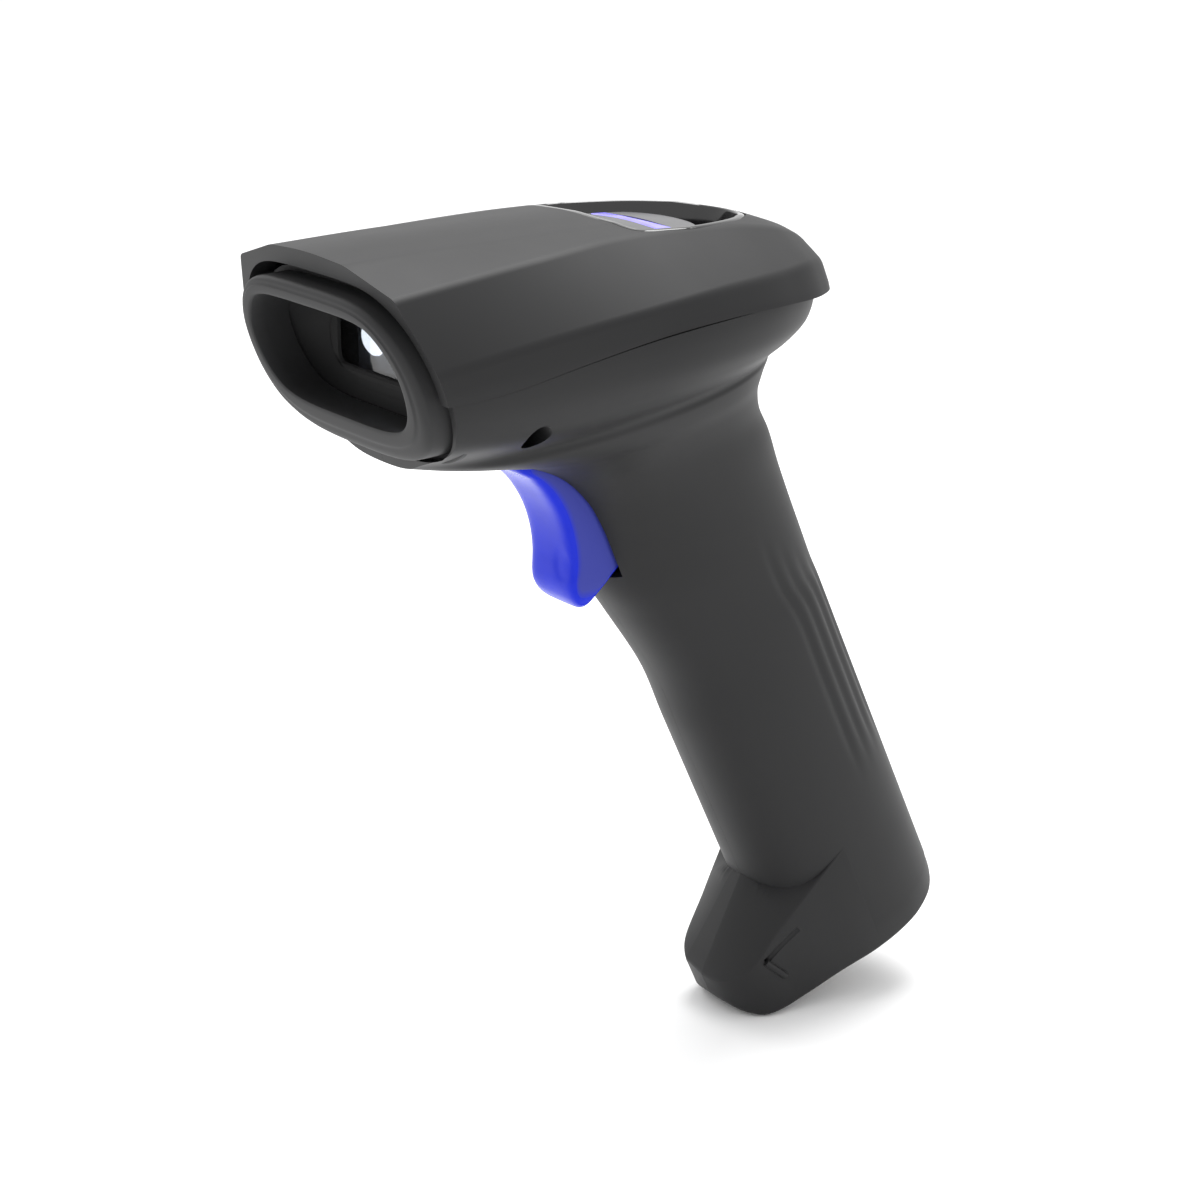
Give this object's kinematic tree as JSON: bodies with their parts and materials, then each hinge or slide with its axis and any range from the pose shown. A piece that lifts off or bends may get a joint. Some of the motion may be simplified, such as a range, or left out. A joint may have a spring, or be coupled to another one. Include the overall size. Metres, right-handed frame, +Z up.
{
  "type": "handheld barcode scanner",
  "caption": "Cordless pistol-grip barcode scanner: faceted head with a rubber-rimmed scan opening, blue trigger, leaning handle and a boot-like charging foot.",
  "frame": {"origin": "where the handle's centreline meets the flat underside of the foot, which is the charging seat", "axes": "+X across the width (mirror plane X = 0), -Y the way the scan window looks, +Z up in the posture of use"},
  "size_m": [0.065, 0.1374, 0.1612],
  "materials": {
    "barrel_black": "matte",
    "bezel_rubber": "matte",
    "blue_led": "moulded",
    "blue_light_pipe": "diffusing",
    "carrier_white": "moulded",
    "cell_wrap": "shrink wrap",
    "chip_black": "moulded",
    "circuit_board": "solder mask",
    "contact_gold": "gold plated",
    "engine_alloy": "blackened",
    "gasket_rubber": "matte",
    "gloss_black": "polished",
    "hood_black": "matte",
    "lamp_clear": "clear",
    "lens_glass": "coated",
    "plate_black": "fine texture",
    "plunger_white": "moulded",
    "radio_shield": "tinned",
    "ribbon_amber": "film",
    "satin_grey": "satin",
    "shell_abs": "fine spark texture",
    "steel": "plated",
    "trigger_blue": "polished",
    "white_led": "moulded",
    "window_glass": "clear"
  },
  "bodies": {
    "housing": {"housing_left": "shell_abs", "housing_right": "shell_abs", "top_cover": "shell_abs", "indicator_dish": "gloss_black", "indicator_island": "satin_grey", "light_pipe": "blue_light_pipe", "indicator_board": "circuit_board", "status_leds": "blue_led", "nose_bezel": "bezel_rubber", "scan_hood": "hood_black", "window_gasket": "gasket_rubber", "scan_window": "window_glass", "engine_chassis": "engine_alloy", "camera_barrel": "barrel_black", "camera_lens": "lens_glass", "lamp_lens": "lamp_clear", "lamp_led": "white_led", "aimer_lens": "lens_glass", "engine_board": "circuit_board", "main_board": "circuit_board", "radio_module": "radio_shield", "board_chips": "chip_black", "beeper": "barrel_black", "engine_ribbon": "ribbon_amber", "trigger_pin": "steel", "trigger_switch": "chip_black", "switch_board": "circuit_board", "trigger_spring": "steel", "battery_cell": "cell_wrap", "battery_carrier": "carrier_white", "cell_terminals": "contact_gold", "power_board": "circuit_board", "foot_plate": "plate_black", "charging_contacts": "contact_gold", "contact_board": "circuit_board", "usb_port": "steel", "housing_screws": "steel"},
    "trigger": {"trigger": "trigger_blue"},
    "plunger": {"switch_plunger": "plunger_white"}
  },
  "joints": [
    {"name": "trigger_squeeze", "type": "hinge", "parent": "housing", "child": "trigger", "pos_m": [0, -0.07593, 0.11273], "axis": [1, 0, 0], "range_deg": [0, 4], "stiffness_Nm_per_rad": 0.5, "springref_deg": -5.73},
    {"name": "plunger_press", "type": "slide", "parent": "housing", "child": "plunger", "axis": [0, 1, 0], "range_m": [0, 0.0012]}
  ],
  "couplings": [
    {"joint": "plunger_press", "follows": "trigger_squeeze", "m_per_rad": 0.0155}
  ]
}
